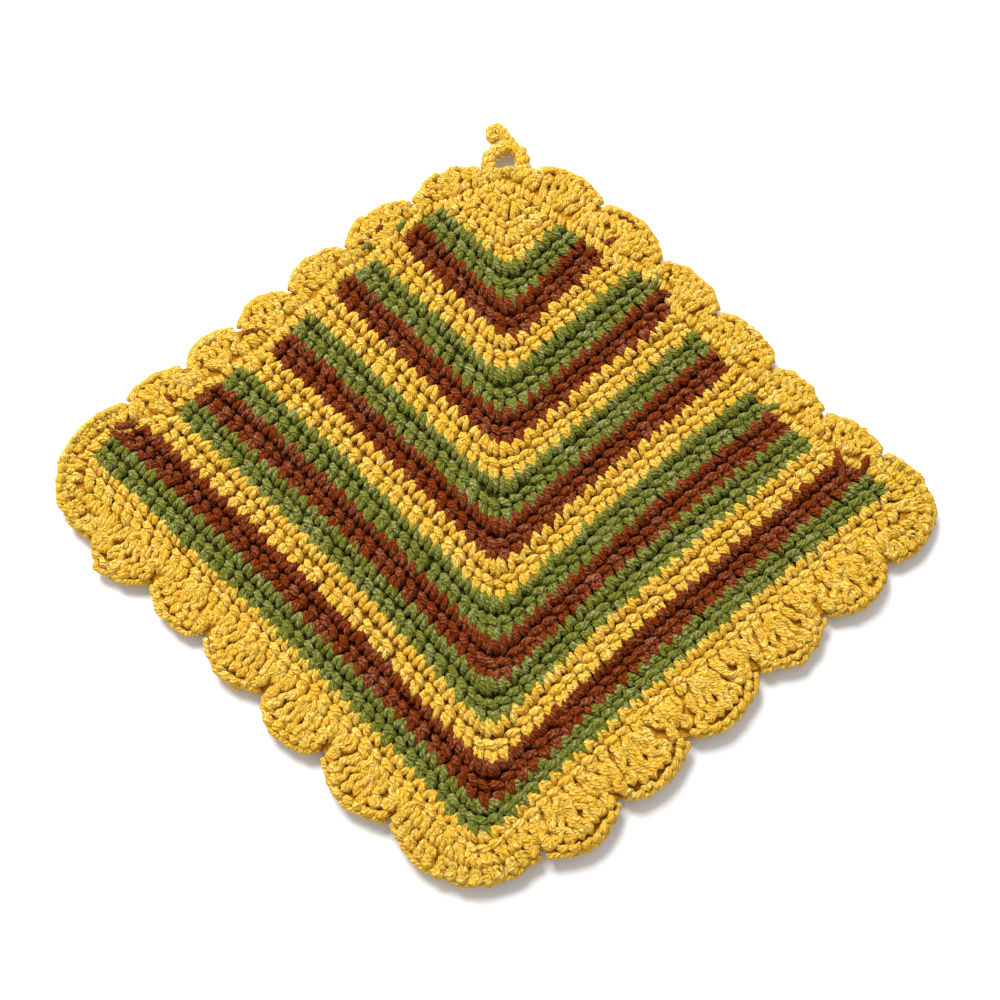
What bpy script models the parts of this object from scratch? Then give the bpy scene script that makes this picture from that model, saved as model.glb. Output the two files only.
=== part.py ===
"""Crocheted pot holder, lying flat with its hanging loop at +Y.

One square of single crochet is worked in V-shaped rows from the top corner, in yellow, green and rust
stripes.  A shell edging in yellow runs round it, and a small chain loop stands on the top corner.

Frame: +Z up, origin under the middle of the whole outline, on the surface that it lies on.  The tables
are in millimetres, and MM turns them into metres.
"""
import math
from collections import namedtuple

import bmesh
import bpy
from mathutils import Vector

MM = 0.001

# Driving dimensions, in millimetres.
CLOTH_THICKNESS = 3.4      # crest of a row above the surface
STRIPE_GROOVE = 0.7        # how deep the groove between two stripes is
ROW_GROOVE = 0.35          # how deep the groove between the two rows of a stripe is
EDGE_DROP = 0.5            # how much thinner the square is along its edge
PIECE_GAP = 0.3            # clearance between two pieces
BORDER_THICKNESS = 3.2     # crest of the shell edging
LOOP_STRAND_RADIUS = 1.35  # chain that makes the loop's arch
CURL_STRAND_RADIUS = 1.0   # fastened-off end, curled over the arch

# How finely the curved lines are cut.
ARM_STEPS = 8              # along one arm of a V, outside its rounded tip
TIP_STEPS = 6              # round the tip of a V
SCALLOP_STEPS = 8          # along one scallop
START_ROWS = 5             # rows in the plain square that the work starts from

TOP_CORNER = Vector((1.8, 56.2))   # where the first row starts

# One row for each stripe: the line along its outer side.  The tip is where its two arms would meet,
# tip_reach is how far from there the rounding starts, and bow pushes the middle of an arm outwards.
Stripe = namedtuple("Stripe", "yarn tip_x tip_y left_x left_y right_x right_y bow tip_reach")
STRIPES = [
    Stripe("yellow", 2.4, 36.4, -11.0, 50.7, 12.0, 48.0, 0.0, 6.0),
    Stripe("green", 2.6, 28.4, -14.7, 47.7, 16.3, 45.2, 0.0, 8.5),
    Stripe("rust", 2.3, 21.0, -18.5, 43.8, 20.5, 40.9, 0.0, 8.5),
    Stripe("yellow", 2.0, 14.0, -22.5, 40.7, 25.3, 37.4, 0.0, 8.5),
    Stripe("green", 1.9, 5.8, -26.8, 36.4, 30.0, 32.7, 0.0, 8.5),
    Stripe("rust", 1.6, -0.8, -30.2, 31.9, 32.3, 27.9, 0.0, 8.5),
    Stripe("yellow", 1.4, -7.1, -34.0, 27.9, 36.0, 24.4, 0.0, 8.5),
    Stripe("green", 1.2, -14.0, -37.0, 24.2, 38.8, 21.4, -0.3, 8.5),
    Stripe("rust", 1.0, -21.0, -40.7, 20.4, 42.0, 17.4, -0.7, 8.5),
    Stripe("yellow", 0.8, -27.9, -45.0, 16.9, 45.2, 13.2, -1.0, 8.5),
    Stripe("green", 0.6, -34.9, -48.5, 13.4, 48.0, 8.9, -1.1, 8.5),
    Stripe("rust", 0.4, -41.9, -53.0, 10.1, 52.0, 5.9, -1.2, 8.5),
    Stripe("green", 0.2, -48.8, -55.5, 7.2, 55.5, 3.0, -1.2, 8.5),
    Stripe("yellow", 0.0, -55.1, -60.0, 5.4, 59.0, 0.9, -1.0, 8.5),
    Stripe("rust", -0.5, -61.4, -66.0, 2.7, 63.7, -2.3, -1.2, 8.0),
    Stripe("green", -1.2, -65.9, -69.2, -1.3, 67.5, -5.8, -1.2, 8.0),
    Stripe("yellow", -1.5, -70.2, -70.0, -5.8, 68.6, -10.2, -1.0, 12.0),
]

# One row for each scallop of the edging, clockwise from the seat of the loop: where it starts, how far
# it bulges, which way its highest point leans (below 1 leans back), and how far its tip is lifted.
Scallop = namedtuple("Scallop", "name start_x start_y bulge lean lift")
SCALLOPS = [
    Scallop("loop seat", -3.1, 60.7, 0.0, 1.0, 0.0),
    Scallop("top corner right", 7.4, 60.7, 3.0, 1.0, 0.5),
    Scallop("upper right 1", 19.8, 52.1, 3.0, 1.1, 0.7),
    Scallop("upper right 2", 30.4, 39.8, 2.8, 1.0, 0.7),
    Scallop("upper right 3", 40.1, 29.1, 2.8, 1.0, 0.7),
    Scallop("upper right 4", 49.3, 18.3, 2.1, 1.0, 0.6),
    Scallop("upper right 5", 57.4, 9.0, 1.8, 1.0, 0.4),
    Scallop("right corner", 67.0, 1.6, 7.9, 1.0, 0.3),
    Scallop("lower right 1", 65.5, -18.6, 3.3, 1.0, 0.4),
    Scallop("lower right 2", 54.0, -27.6, 3.4, 1.0, 0.6),
    Scallop("lower right 3", 42.5, -37.1, 3.5, 1.0, 0.9),
    Scallop("lower right 4", 31.0, -48.2, 3.1, 1.0, 1.0),
    Scallop("lower right 5", 20.1, -57.8, 3.6, 1.0, 1.0),
    Scallop("bottom corner", 8.4, -65.9, 7.15, 1.0, 0.5),
    Scallop("lower left 1", -15.2, -61.3, 3.5, 1.0, 0.6),
    Scallop("lower left 2", -25.9, -50.9, 3.6, 1.0, 0.7),
    Scallop("lower left 3", -35.9, -41.3, 3.3, 1.0, 0.6),
    Scallop("lower left 4", -46.0, -32.1, 3.3, 1.0, 0.4),
    Scallop("lower left 5", -55.5, -23.1, 3.2, 1.0, 0.3),
    Scallop("left corner", -67.0, -16.1, 8.6, 1.0, 0.3),
    Scallop("upper left 1", -64.2, 9.9, 2.0, 0.9, 0.3),
    Scallop("upper left 2", -54.8, 17.1, 2.7, 0.9, 0.3),
    Scallop("upper left 3", -46.0, 24.7, 2.9, 0.8, 0.3),
    Scallop("upper left 4", -37.7, 32.7, 3.1, 0.8, 0.3),
    Scallop("upper left 5", -28.3, 42.4, 3.3, 0.75, 0.3),
    Scallop("top corner left", -16.3, 52.7, 3.1, 1.0, 0.3),
]

# The edging's section, from its inner bottom edge over the top to its outer bottom edge: how far out
# each line lies between the square and the scallops, its height, and its share of the tip's lift.
SectionLine = namedtuple("SectionLine", "outward height lift_share")
BORDER_SECTION = [
    SectionLine(0.00, 0.0, 0.0),
    SectionLine(0.00, 0.80 * BORDER_THICKNESS, 0.0),
    SectionLine(0.32, BORDER_THICKNESS, 0.3),
    SectionLine(0.80, 0.88 * BORDER_THICKNESS, 0.8),
    SectionLine(1.00, 0.50 * BORDER_THICKNESS, 1.0),
    SectionLine(0.90, 0.10 * BORDER_THICKNESS, 0.9),
    SectionLine(0.55, 0.0, 0.2),
]

# Middle lines of the loop's two strands, from foot to foot and from the arch to the curled end.
PathPoint = namedtuple("PathPoint", "x y height")
LOOP_ARCH = [
    PathPoint(-2.0, 61.05, 1.5),
    PathPoint(-2.1, 62.8, 1.7),
    PathPoint(-1.2, 64.5, 2.0),
    PathPoint(1.5, 65.5, 2.2),
    PathPoint(4.1, 64.5, 2.0),
    PathPoint(4.6, 62.8, 1.7),
    PathPoint(4.4, 61.05, 1.5),
]
LOOP_CURL = [
    PathPoint(1.7, 65.6, 2.3),
    PathPoint(2.1, 67.6, 2.7),
    PathPoint(1.1, 69.4, 2.8),
    PathPoint(-0.6, 69.8, 2.7),
    PathPoint(-1.6, 68.7, 2.4),
    PathPoint(-1.2, 67.7, 2.2),
]

# Colours are linear RGB.
Yarn = namedtuple("Yarn", "colour roughness")
YARNS = {
    "yellow": Yarn((0.80, 0.42, 0.03), 0.85),
    "green": Yarn((0.105, 0.155, 0.028), 0.85),
    "rust": Yarn((0.19, 0.032, 0.010), 0.85),
}


def clear_scene():
    """Remove every object that the scene starts with."""
    for obj in list(bpy.data.objects):
        bpy.data.objects.remove(obj, do_unlink=True)


def new_collection(name):
    """Add a collection under the scene and return it."""
    collection = bpy.data.collections.new(name)
    bpy.context.scene.collection.children.link(collection)
    return collection


def yarn_material(name, yarn):
    """A Principled material in one yarn's colour."""
    material = bpy.data.materials.new(name)
    material.use_nodes = True
    shader = material.node_tree.nodes["Principled BSDF"]
    shader.inputs["Base Color"].default_value = (*yarn.colour, 1.0)
    shader.inputs["Roughness"].default_value = yarn.roughness
    shader.inputs["Metallic"].default_value = 0.0
    return material


# ------------------------------------------------------------------ the square's V-shaped lines

def arm_point(tip, end, bow, share):
    """The point a share of the way from the tip of a V to the end of one arm."""
    along = end - tip
    across = Vector((along.y, -along.x)).normalized()
    if across.y > 0:
        across = -across
    return tip + along * share + across * bow * 4 * share * (1 - share)


def stripe_line(stripe):
    """A stripe's outer line, from its left end round the rounded tip to its right end."""
    tip = Vector((stripe.tip_x, stripe.tip_y))
    arms = []
    for end in (Vector((stripe.left_x, stripe.left_y)), Vector((stripe.right_x, stripe.right_y))):
        first = stripe.tip_reach / (end - tip).length
        shares = [first + (1 - first) * i / ARM_STEPS for i in range(ARM_STEPS + 1)]
        arms.append([arm_point(tip, end, stripe.bow, share) for share in shares])
    left, right = arms
    rounding = []
    for i in range(1, TIP_STEPS):
        t = i / TIP_STEPS
        rounding.append(left[0] * (1 - t) ** 2 + tip * 2 * t * (1 - t) + right[0] * t ** 2)
    return left[::-1] + rounding + right


def blend_lines(first, second, share):
    """The line a share of the way from one line to the next."""
    return [a.lerp(b, share) for a, b in zip(first, second)]


def square_rows():
    """Every line across the square with its height and yarn, from the top corner outwards."""
    lines = [stripe_line(stripe) for stripe in STRIPES]
    corner_line = [TOP_CORNER] * len(lines[0])
    rows = []
    for row in range(START_ROWS):
        rows.append((blend_lines(corner_line, lines[0], (row + 0.5) / START_ROWS), CLOTH_THICKNESS, "yellow"))
        groove = STRIPE_GROOVE if row == START_ROWS - 1 else ROW_GROOVE
        rows.append((blend_lines(corner_line, lines[0], (row + 1) / START_ROWS),
                     CLOTH_THICKNESS - groove, "yellow"))
    quarters = ((0.25, 0.0), (0.5, ROW_GROOVE), (0.75, 0.0), (1.0, STRIPE_GROOVE))
    for inner, outer, stripe in zip(lines, lines[1:], STRIPES[1:]):
        for share, groove in quarters:
            rows.append((blend_lines(inner, outer, share), CLOTH_THICKNESS - groove, stripe.yarn))
    return rows


def square_outline():
    """The square's outline, clockwise from its top corner, with its straight stretches left whole."""
    last = stripe_line(STRIPES[-1])
    right_ends = [Vector((s.right_x, s.right_y)) for s in STRIPES[:-1]]
    left_ends = [Vector((s.left_x, s.left_y)) for s in STRIPES[:-1]]
    return [TOP_CORNER] + right_ends + last[::-1] + left_ends[::-1]


def build_square(collection, materials):
    """The striped square: a ribbed top over a flat underside."""
    rows = square_rows()
    mesh = bpy.data.meshes.new("panel")
    for material in materials.values():
        mesh.materials.append(material)
    slots = {name: index for index, name in enumerate(materials)}
    bm = bmesh.new()

    top_rows = []
    for index, (points, height, _) in enumerate(rows):
        last_row = index == len(rows) - 1
        verts = []
        for column, point in enumerate(points):
            on_edge = last_row or column in (0, len(points) - 1)
            z = CLOTH_THICKNESS - STRIPE_GROOVE - EDGE_DROP if on_edge else height
            verts.append(bm.verts.new((point.x * MM, point.y * MM, z * MM)))
        top_rows.append(verts)
    corner_z = CLOTH_THICKNESS - STRIPE_GROOVE - EDGE_DROP
    corner = bm.verts.new((TOP_CORNER.x * MM, TOP_CORNER.y * MM, corner_z * MM))

    start_slot = slots[rows[0][2]]
    for a, b in zip(top_rows[0], top_rows[0][1:]):
        bm.faces.new((corner, a, b)).material_index = start_slot
    for (upper, lower), (_, _, yarn) in zip(zip(top_rows, top_rows[1:]), rows[1:]):
        for i in range(len(upper) - 1):
            face = bm.faces.new((upper[i], lower[i], lower[i + 1], upper[i + 1]))
            face.material_index = slots[yarn]

    left_side = [verts[0] for verts in top_rows[:-1]]
    right_side = [verts[-1] for verts in top_rows[:-1]]
    rim = [corner] + left_side + top_rows[-1] + right_side[::-1]
    base = [bm.verts.new((v.co.x, v.co.y, 0.0)) for v in rim]
    for i in range(len(rim)):
        j = (i + 1) % len(rim)
        bm.faces.new((rim[i], base[i], base[j], rim[j]))
    bm.faces.new(base)
    finish_mesh(bm, mesh)
    obj = bpy.data.objects.new("panel", mesh)
    collection.objects.link(obj)
    return obj


# ------------------------------------------------------------------ the shell edging

def offset_outline(points, distance):
    """The closed outline moved outwards by a distance.  The points run clockwise."""
    moved = []
    for index, point in enumerate(points):
        before = (point - points[index - 1]).normalized()
        after = (points[(index + 1) % len(points)] - point).normalized()
        normal_before = Vector((-before.y, before.x))
        normal_after = Vector((-after.y, after.x))
        mitre = (normal_before + normal_after).normalized()
        moved.append(point + mitre * (distance / max(mitre.dot(normal_before), 0.4)))
    return moved


class ClosedLine:
    """A closed line of straight stretches, read by the distance along it."""

    def __init__(self, points):
        self.points = points
        self.starts = [0.0]
        for a, b in zip(points, points[1:] + points[:1]):
            self.starts.append(self.starts[-1] + (b - a).length)
        self.length = self.starts[-1]

    def at(self, distance):
        """The point a distance along the line."""
        distance %= self.length
        for index, point in enumerate(self.points):
            if distance <= self.starts[index + 1]:
                share = (distance - self.starts[index]) / (self.starts[index + 1] - self.starts[index])
                return point.lerp(self.points[(index + 1) % len(self.points)], share)
        return self.points[0]

    def nearest(self, target):
        """The distance along the line of its point nearest to a target."""
        best = (math.inf, 0.0)
        for index, point in enumerate(self.points):
            side = self.points[(index + 1) % len(self.points)] - point
            share = min(max((target - point).dot(side) / side.length_squared, 0.0), 1.0)
            gap = (point + side * share - target).length
            best = min(best, (gap, self.starts[index] + share * side.length))
        return best[1]


def scallop_point(start, end, scallop, share):
    """The point a share of the way along one scallop's rounded edge."""
    chord = end - start
    outward = Vector((-chord.y, chord.x)).normalized()
    if scallop.bulge == 0.0:
        return start + chord * share
    leaned = share ** scallop.lean
    radius = ((chord.length / 2) ** 2 + scallop.bulge ** 2) / (2 * scallop.bulge)
    half_angle = math.asin(min(chord.length / 2 / radius, 1.0))
    if scallop.bulge > chord.length / 2:
        half_angle = math.pi - half_angle
    angle = (2 * leaned - 1) * half_angle
    centre = (start + end) / 2 + outward * (scallop.bulge - radius)
    return centre + chord.normalized() * radius * math.sin(angle) + outward * radius * math.cos(angle)


def border_columns():
    """The edging's columns, clockwise: a point at the square, a point on the scallops, and the lift."""
    inner = ClosedLine(offset_outline(square_outline(), PIECE_GAP))
    corners = [Vector((s.start_x, s.start_y)) for s in SCALLOPS]
    feet = [inner.nearest(corner) for corner in corners]
    columns = []
    for index, scallop in enumerate(SCALLOPS):
        start, end = corners[index], corners[(index + 1) % len(corners)]
        foot = feet[index]
        span = (feet[(index + 1) % len(feet)] - foot) % inner.length
        shares = [step / SCALLOP_STEPS for step in range(SCALLOP_STEPS)]
        for along in inner.starts[:-1]:
            share = ((along - foot) % inner.length) / span
            if share < 1.0:
                shares = [s for s in shares if s == 0.0 or abs(s - share) * span > 0.4] + [share]
        for share in sorted(set(shares)):
            lift = scallop.lift * math.sin(math.pi * share)
            columns.append((inner.at(foot + share * span), scallop_point(start, end, scallop, share), lift))
    return columns


def build_border(collection, material):
    """The scalloped edging: a ring lofted between the square's outline and the scallops."""
    columns = border_columns()
    bm = bmesh.new()
    rings = []
    for line in BORDER_SECTION:
        ring = []
        for inner, outer, lift in columns:
            point = inner.lerp(outer, line.outward)
            ring.append(bm.verts.new((point.x * MM, point.y * MM, (line.height + lift * line.lift_share) * MM)))
        rings.append(ring)
    for ring, following in zip(rings, rings[1:] + rings[:1]):
        for i in range(len(ring)):
            j = (i + 1) % len(ring)
            bm.faces.new((ring[i], ring[j], following[j], following[i]))
    mesh = bpy.data.meshes.new("scalloped_border")
    mesh.materials.append(material)
    finish_mesh(bm, mesh)
    obj = bpy.data.objects.new("scalloped_border", mesh)
    collection.objects.link(obj)
    return obj


# ------------------------------------------------------------------ the hanging loop

def strand(name, path, radius, collection):
    """A closed tube along a smooth curve through the path's points, as a mesh object."""
    curve = bpy.data.curves.new(name, "CURVE")
    curve.dimensions = "3D"
    curve.bevel_depth = radius * MM
    curve.bevel_resolution = 2
    curve.resolution_u = 3
    curve.use_fill_caps = True
    spline = curve.splines.new("BEZIER")
    spline.bezier_points.add(len(path) - 1)
    for knot, point in zip(spline.bezier_points, path):
        knot.co = (point.x * MM, point.y * MM, point.height * MM)
        knot.handle_left_type = knot.handle_right_type = "AUTO"
    tube = bpy.data.objects.new(name + "_line", curve)
    collection.objects.link(tube)
    bpy.context.view_layer.update()
    mesh = bpy.data.meshes.new_from_object(tube.evaluated_get(bpy.context.evaluated_depsgraph_get()))
    bpy.data.objects.remove(tube)
    bm = bmesh.new()
    bm.from_mesh(mesh)
    bmesh.ops.remove_doubles(bm, verts=bm.verts, dist=0.00001)
    finish_mesh(bm, mesh)
    mesh.name = name
    obj = bpy.data.objects.new(name, mesh)
    collection.objects.link(obj)
    return obj


def build_loop(collection, cutters, material):
    """The hanging loop: an arch of chain with its fastened-off end curled over it."""
    arch = strand("hanging_loop", LOOP_ARCH, LOOP_STRAND_RADIUS, collection)
    arch.data.materials.clear()
    arch.data.materials.append(material)
    curl = strand("loop_curl", LOOP_CURL, CURL_STRAND_RADIUS, cutters)
    curl.hide_render = True
    curl.display_type = "WIRE"
    union = arch.modifiers.new("join curl", "BOOLEAN")
    union.operation = "UNION"
    union.object = curl
    return arch


def finish_mesh(bm, mesh):
    """Point the faces outwards, write the mesh and shade its round parts smooth."""
    bmesh.ops.recalc_face_normals(bm, faces=bm.faces)
    bm.to_mesh(mesh)
    bm.free()
    mesh.shade_smooth()
    mesh.set_sharp_from_angle(angle=math.radians(50))


def main():
    """Build the pot holder's three pieces."""
    clear_scene()
    part = new_collection("crocheted_pot_holder")
    cutters = new_collection("cutters")
    materials = {name: yarn_material(name + " yarn", yarn) for name, yarn in YARNS.items()}
    build_square(part, materials)
    build_border(part, yarn_material("edging yarn", YARNS["yellow"]))
    build_loop(part, cutters, yarn_material("loop yarn", YARNS["yellow"]))


main()
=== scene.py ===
"""Looks of the crocheted pot holder: every stitch in plied yarn, lying on a pale table.

The cloth is worked here as a maker works it.  A row of stitches stands between two lines, and one
continuous strand of yarn runs through its stitches.  The square's rows are V-shaped and lie between the
edges of its stripes, the shells of the edging fan out to the scallops, and the loop is two strands wound
round each other.  Lengths in the tables are in millimetres, in the frame of the model, and MM turns them
into metres.
"""

import logging
import math
from dataclasses import dataclass
from enum import Enum
from typing import Any, NamedTuple, Optional, Sequence, Union

import bpy
import numpy as np
from mathutils import Matrix, Vector

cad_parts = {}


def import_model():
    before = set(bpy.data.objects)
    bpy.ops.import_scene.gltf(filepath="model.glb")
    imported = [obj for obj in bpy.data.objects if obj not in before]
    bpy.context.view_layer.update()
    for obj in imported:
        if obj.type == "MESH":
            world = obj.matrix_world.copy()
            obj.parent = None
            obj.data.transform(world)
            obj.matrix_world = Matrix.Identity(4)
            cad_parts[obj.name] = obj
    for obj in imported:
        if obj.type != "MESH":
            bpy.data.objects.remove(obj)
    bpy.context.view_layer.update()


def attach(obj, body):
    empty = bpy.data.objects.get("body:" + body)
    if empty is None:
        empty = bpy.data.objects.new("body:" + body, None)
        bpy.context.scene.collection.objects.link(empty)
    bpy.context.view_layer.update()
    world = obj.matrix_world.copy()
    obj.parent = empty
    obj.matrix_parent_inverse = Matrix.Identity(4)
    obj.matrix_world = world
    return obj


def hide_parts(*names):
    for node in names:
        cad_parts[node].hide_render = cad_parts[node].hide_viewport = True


MM = 0.001
BODY = "root"
CLOTH_MIDDLE = 1.72        # height of the cloth's middle above the table
YARN_RADIUS = 0.62
EDGING_RADIUS = 0.57
YARN_SIDES = 5             # faces round a strand
PLY_LEAD = 3.2             # the length of strand in which a ply goes once round
POINTS_PER_TONE = 6        # how many points of a strand keep about the same tone
TABLE_GAP = 0.01           # between the table and the lowest strands

log = logging.getLogger("pot_holder")


# ------------------------------------------------------------------ sizes of the real thing

class YarnColour(Enum):
    """The three yarns that the pot holder is worked in."""

    YELLOW = "yellow"
    GREEN = "green"
    RUST = "rust"


class Stripe(NamedTuple):
    """The line along a stripe's outer side: two arms that meet in a rounded tip."""

    colour: YarnColour
    tip_x: float
    tip_y: float
    left_x: float
    left_y: float
    right_x: float
    right_y: float
    bow: float          # how far the middle of an arm is pushed outwards
    tip_reach: float    # how far from the tip the rounding starts


class Scallop(NamedTuple):
    """One scallop of the edging, clockwise from the seat of the loop."""

    start_x: float
    start_y: float
    bulge: float        # how far it stands out from its two notches
    lean: float         # below 1 its highest point leans back
    lift: float         # how far the middle of its stitches is raised


class PathPoint(NamedTuple):
    """A point on the middle line of the loop, or of a short strand of the edging."""

    x: float            # in the edging: along its edge, from where the strand belongs
    y: float            # in the edging: outwards
    height: float       # in the edging: above the middle of its stitches


class Fleck(NamedTuple):
    """A short length of carried yarn that shows through another colour."""

    colour: YarnColour
    x: float
    y: float
    turn: float         # degrees anticlockwise from the right
    length: float
    height: float


TOP_CORNER = np.array((1.8, 56.2))
ROW_INSET = 0.95           # how far inside a stripe's outer line its yarn turns back
START_ROWS = 6
TIP_STITCHES = 3           # how many stitches fan out round a tip
TIP_ROOTS = 1.8            # and how many stitches wide they stand together
TOP_LEAN = 0.35            # how many stitches the top of a stitch leans over, for each row height
SHELL_SPREAD = 0.35        # share of a shell's width that its roots keep; the rest draws in to its foot
STRIPES = [
    Stripe(YarnColour.YELLOW, 2.0, 36.8, -11.0, 50.7, 12.0, 47.1, 0.0, 3.6),
    Stripe(YarnColour.GREEN, 2.55, 28.3, -14.7, 47.6, 16.3, 44.5, 0.0, 4.6),
    Stripe(YarnColour.RUST, 2.5, 20.6, -18.5, 43.1, 20.5, 40.4, 0.0, 4.6),
    Stripe(YarnColour.YELLOW, 1.5, 14.3, -22.5, 39.5, 25.3, 37.6, 0.0, 4.6),
    Stripe(YarnColour.GREEN, 1.55, 6.2, -26.8, 36.1, 30.0, 33.35, 0.0, 4.6),
    Stripe(YarnColour.RUST, 1.4, -0.35, -30.2, 31.9, 32.3, 28.25, 0.0, 4.6),
    Stripe(YarnColour.YELLOW, 1.3, -6.75, -34.0, 27.9, 36.0, 24.7, 0.0, 4.6),
    Stripe(YarnColour.GREEN, 1.2, -14.4, -37.0, 23.75, 38.8, 21.05, -0.3, 4.6),
    Stripe(YarnColour.RUST, 1.0, -21.7, -40.7, 19.55, 42.0, 16.55, -0.7, 4.6),
    Stripe(YarnColour.YELLOW, 0.8, -28.5, -45.0, 16.5, 45.2, 12.5, -1.0, 4.6),
    Stripe(YarnColour.GREEN, 0.6, -35.2, -48.5, 13.4, 48.0, 8.4, -1.1, 4.6),
    Stripe(YarnColour.RUST, 0.4, -42.1, -53.0, 10.1, 52.0, 5.55, -1.2, 4.6),
    Stripe(YarnColour.GREEN, -0.05, -48.6, -55.5, 6.7, 55.5, 2.1, -1.2, 4.6),
    Stripe(YarnColour.YELLOW, 0.0, -54.9, -60.0, 4.5, 59.0, -0.3, -1.0, 4.6),
    Stripe(YarnColour.RUST, -0.3, -61.4, -66.0, 2.9, 63.7, -3.2, -1.2, 4.6),
    Stripe(YarnColour.GREEN, -1.2, -65.9, -69.2, -1.3, 67.5, -5.8, -1.2, 4.6),
    Stripe(YarnColour.YELLOW, -1.5, -70.2, -70.0, -5.8, 68.6, -10.2, -1.0, 6.0),
]
SCALLOPS = [
    Scallop(-3.1, 60.7, 0.0, 1.0, 0.00),
    Scallop(7.4, 60.7, 3.0, 1.0, 0.20),
    Scallop(19.8, 52.1, 3.0, 1.1, 0.28),
    Scallop(30.4, 39.8, 2.8, 1.0, 0.28),
    Scallop(40.1, 29.1, 2.8, 1.0, 0.28),
    Scallop(49.3, 18.3, 2.1, 1.0, 0.24),
    Scallop(57.4, 9.0, 1.8, 1.0, 0.16),
    Scallop(67.0, 1.6, 7.9, 1.0, 0.12),
    Scallop(65.5, -18.6, 3.3, 1.0, 0.16),
    Scallop(54.0, -27.6, 3.4, 1.0, 0.24),
    Scallop(42.5, -37.1, 3.5, 1.0, 0.36),
    Scallop(31.0, -48.2, 3.1, 1.0, 0.40),
    Scallop(20.1, -57.8, 3.6, 1.0, 0.40),
    Scallop(8.4, -65.9, 7.15, 1.0, 0.20),
    Scallop(-15.2, -61.3, 3.5, 1.0, 0.24),
    Scallop(-25.9, -50.9, 3.6, 1.0, 0.28),
    Scallop(-35.9, -41.3, 3.3, 1.0, 0.24),
    Scallop(-46.0, -32.1, 3.3, 1.0, 0.16),
    Scallop(-55.5, -23.1, 3.2, 1.0, 0.12),
    Scallop(-67.0, -16.1, 8.6, 1.0, 0.12),
    Scallop(-64.2, 9.9, 2.0, 0.9, 0.12),
    Scallop(-54.8, 17.1, 2.7, 0.9, 0.12),
    Scallop(-46.0, 24.7, 2.9, 0.8, 0.12),
    Scallop(-37.7, 32.7, 3.1, 0.8, 0.12),
    Scallop(-28.3, 42.4, 3.3, 0.75, 0.12),
    Scallop(-16.3, 52.7, 3.1, 1.0, 0.12),
]
LOOP_ARCH = [
    PathPoint(-1.2, 59.9, 1.6),
    PathPoint(-1.8, 61.4, 1.9),
    PathPoint(-1.6, 63.3, 2.1),
    PathPoint(0.4, 65.1, 2.3),
    PathPoint(2.6, 65.5, 2.3),
    PathPoint(4.3, 64.1, 2.1),
    PathPoint(4.6, 62.3, 1.9),
    PathPoint(4.3, 60.0, 1.6),
]
LOOP_CURL = [
    PathPoint(3.0, 64.6, 2.0),
    PathPoint(2.3, 66.4, 2.6),
    PathPoint(1.2, 67.9, 2.9),
    PathPoint(0.4, 69.4, 2.8),
    PathPoint(-0.6, 69.8, 2.6),
    PathPoint(-1.5, 69.0, 2.4),
    PathPoint(-1.2, 67.8, 2.2),
    PathPoint(-0.3, 68.2, 2.0),
]
KNOT = [                       # the loops in which a shell's stitches are rooted
    PathPoint(-0.4, -0.6, 0.2),
    PathPoint(-0.7, 0.1, 1.1),
    PathPoint(-1.3, 0.8, 1.1),
    PathPoint(-0.9, 1.5, 0.9),
    PathPoint(-0.2, 1.1, 0.6),
    PathPoint(0.3, 1.5, 0.9),
    PathPoint(1.0, 1.4, 1.15),
    PathPoint(1.2, 0.6, 1.1),
    PathPoint(0.5, 0.1, 1.1),
    PathPoint(0.3, -0.6, 0.2),
]
SLIP_STITCH = [                # the thick slanting stitch by a notch
    PathPoint(-0.5, -4.1, -0.12),
    PathPoint(-0.1, -3.8, 0.88),
    PathPoint(0.7, -2.9, 1.28),
    PathPoint(1.6, -1.9, 1.18),
    PathPoint(2.2, -1.3, 0.78),
    PathPoint(2.4, -1.0, -0.12),
]
FLECKS = [
    Fleck(YarnColour.RUST, -43.5, 23.7, 20.0, 2.4, 3.3),
    Fleck(YarnColour.RUST, -56.5, 10.3, -50.0, 2.2, 3.3),
    Fleck(YarnColour.RUST, -64.8, 3.3, 135.0, 3.2, 3.3),
    Fleck(YarnColour.RUST, -63.3, 4.9, 10.0, 4.4, 3.3),
    Fleck(YarnColour.RUST, 58.8, -0.7, 98.0, 5.0, 3.4),
    Fleck(YarnColour.RUST, 62.9, -1.2, 65.0, 4.2, 3.4),
    Fleck(YarnColour.RUST, -21.7, 46.0, 60.0, 1.8, 3.2),
    Fleck(YarnColour.RUST, 21.1, 43.9, 30.0, 2.0, 3.3),
    Fleck(YarnColour.RUST, 30.6, 32.7, -40.0, 2.0, 3.2),
    Fleck(YarnColour.GREEN, -23.9, 42.2, 40.0, 2.2, 3.2),
    Fleck(YarnColour.GREEN, -17.6, 47.0, 70.0, 2.0, 3.2),
    Fleck(YarnColour.GREEN, 28.6, 34.8, 55.0, 3.2, 3.3),
    Fleck(YarnColour.GREEN, 48.3, 9.9, 20.0, 2.4, 3.2),
]


# ------------------------------------------------------------------ shader expressions

Colour = tuple[float, float, float]
Operand = Union["Term", float]


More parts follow.
